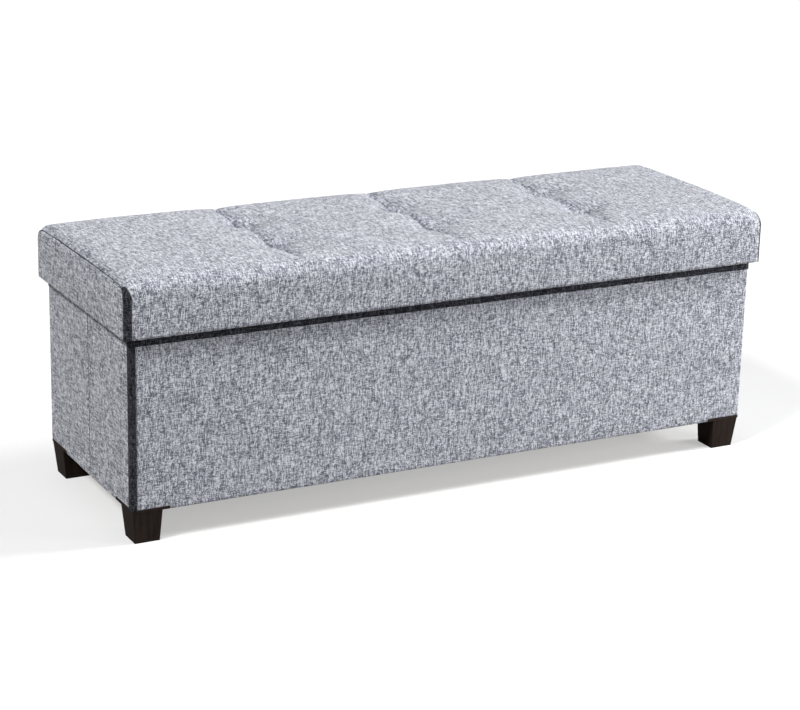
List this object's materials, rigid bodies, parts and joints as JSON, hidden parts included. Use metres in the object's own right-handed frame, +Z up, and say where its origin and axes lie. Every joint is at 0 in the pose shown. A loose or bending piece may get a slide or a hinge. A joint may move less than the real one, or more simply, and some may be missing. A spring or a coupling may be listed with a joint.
{
  "type": "storage bench",
  "caption": "Upholstered storage bench with a padded, tufted lid on rear hinges, a box body with fold-line ends, two slotted lid stays and tapered wooden legs.",
  "frame": {"origin": "on the floor, under the middle of the bench", "axes": "+X along the length to the right seen from the front, -Y towards the front, +Z up"},
  "size_m": [1.143, 0.388, 0.42],
  "materials": {
    "grey_weave": "matte",
    "charcoal_binding": "matte",
    "leg_stain": "satin",
    "panel_board": "matte",
    "rail_timber": "matte",
    "black_lining": "matte",
    "cushion_foam": "matte",
    "tie_cord": "matte",
    "black_steel": "satin",
    "zinc_steel": "satin",
    "bumper_rubber": "matte"
  },
  "bodies": {
    "body": {"back_inner_lining": "black_lining", "back_panel_board": "panel_board", "back_panel_cover": "grey_weave", "back_rim_binding": "charcoal_binding", "base_board": "panel_board", "front_base_rail": "rail_timber", "front_inner_lining": "black_lining", "front_left_corner_binding": "charcoal_binding", "front_left_leg": "leg_stain", "front_panel_board": "panel_board", "front_panel_cover": "grey_weave", "front_right_leg": "leg_stain", "front_rim_binding": "charcoal_binding", "hinge_body_leaves": "black_steel", "hinge_body_screws": "zinc_steel", "hinge_pins": "black_steel", "left_end_cover": "grey_weave", "left_end_front_board": "panel_board", "left_end_rear_board": "panel_board", "left_inner_lining": "black_lining", "left_stay_wall_bracket": "black_steel", "leg_bolts": "zinc_steel", "leg_tee_nuts": "zinc_steel", "rear_base_rail": "rail_timber", "rear_left_leg": "leg_stain", "rear_right_corner_binding": "charcoal_binding", "rear_right_leg": "leg_stain", "right_end_cover": "grey_weave", "right_end_front_board": "panel_board", "right_end_rear_board": "panel_board", "right_inner_lining": "black_lining", "right_stay_wall_bracket": "black_steel", "rim_bumpers": "bumper_rubber", "stay_wall_screws": "zinc_steel"},
    "lid": {"hinge_lid_leaves": "black_steel", "hinge_lid_screws": "zinc_steel", "left_stay_lid_bracket": "black_steel", "lid_back_rail": "rail_timber", "lid_board": "panel_board", "lid_dust_cover": "black_lining", "lid_foam_pad": "cushion_foam", "lid_front_left_binding": "charcoal_binding", "lid_front_rail": "rail_timber", "lid_left_cross_brace": "rail_timber", "lid_left_gusset": "grey_weave", "lid_left_rail": "rail_timber", "lid_rear_right_binding": "charcoal_binding", "lid_right_cross_brace": "rail_timber", "lid_right_gusset": "grey_weave", "lid_right_rail": "rail_timber", "lid_top_cover": "grey_weave", "right_stay_lid_bracket": "black_steel", "stay_lid_screws": "zinc_steel", "stay_pivot_rivets": "black_steel", "tuft_ties": "tie_cord", "tuft_washers": "zinc_steel"},
    "left_stay": {"left_stay_arm": "black_steel"},
    "right_stay": {"right_stay_arm": "black_steel"}
  },
  "joints": [
    {"name": "lid_hinge", "type": "hinge", "parent": "body", "child": "lid", "pos_m": [0, 0.1859, 0.3288], "axis": [-1, 0, 0], "range_deg": [0, 95]},
    {"name": "left_stay_pivot", "type": "hinge", "parent": "lid", "child": "left_stay", "pos_m": [-0.539, 0.06656, 0.31626], "axis": [-1, 0, 0], "range_deg": [-48, 0]},
    {"name": "right_stay_pivot", "type": "hinge", "parent": "lid", "child": "right_stay", "pos_m": [0.539, 0.06656, 0.31626], "axis": [-1, 0, 0], "range_deg": [-48, 0]}
  ],
  "couplings": [
    {"joint": "left_stay_pivot", "follows": "lid_hinge", "ratio": -0.5},
    {"joint": "right_stay_pivot", "follows": "lid_hinge", "ratio": -0.5}
  ]
}
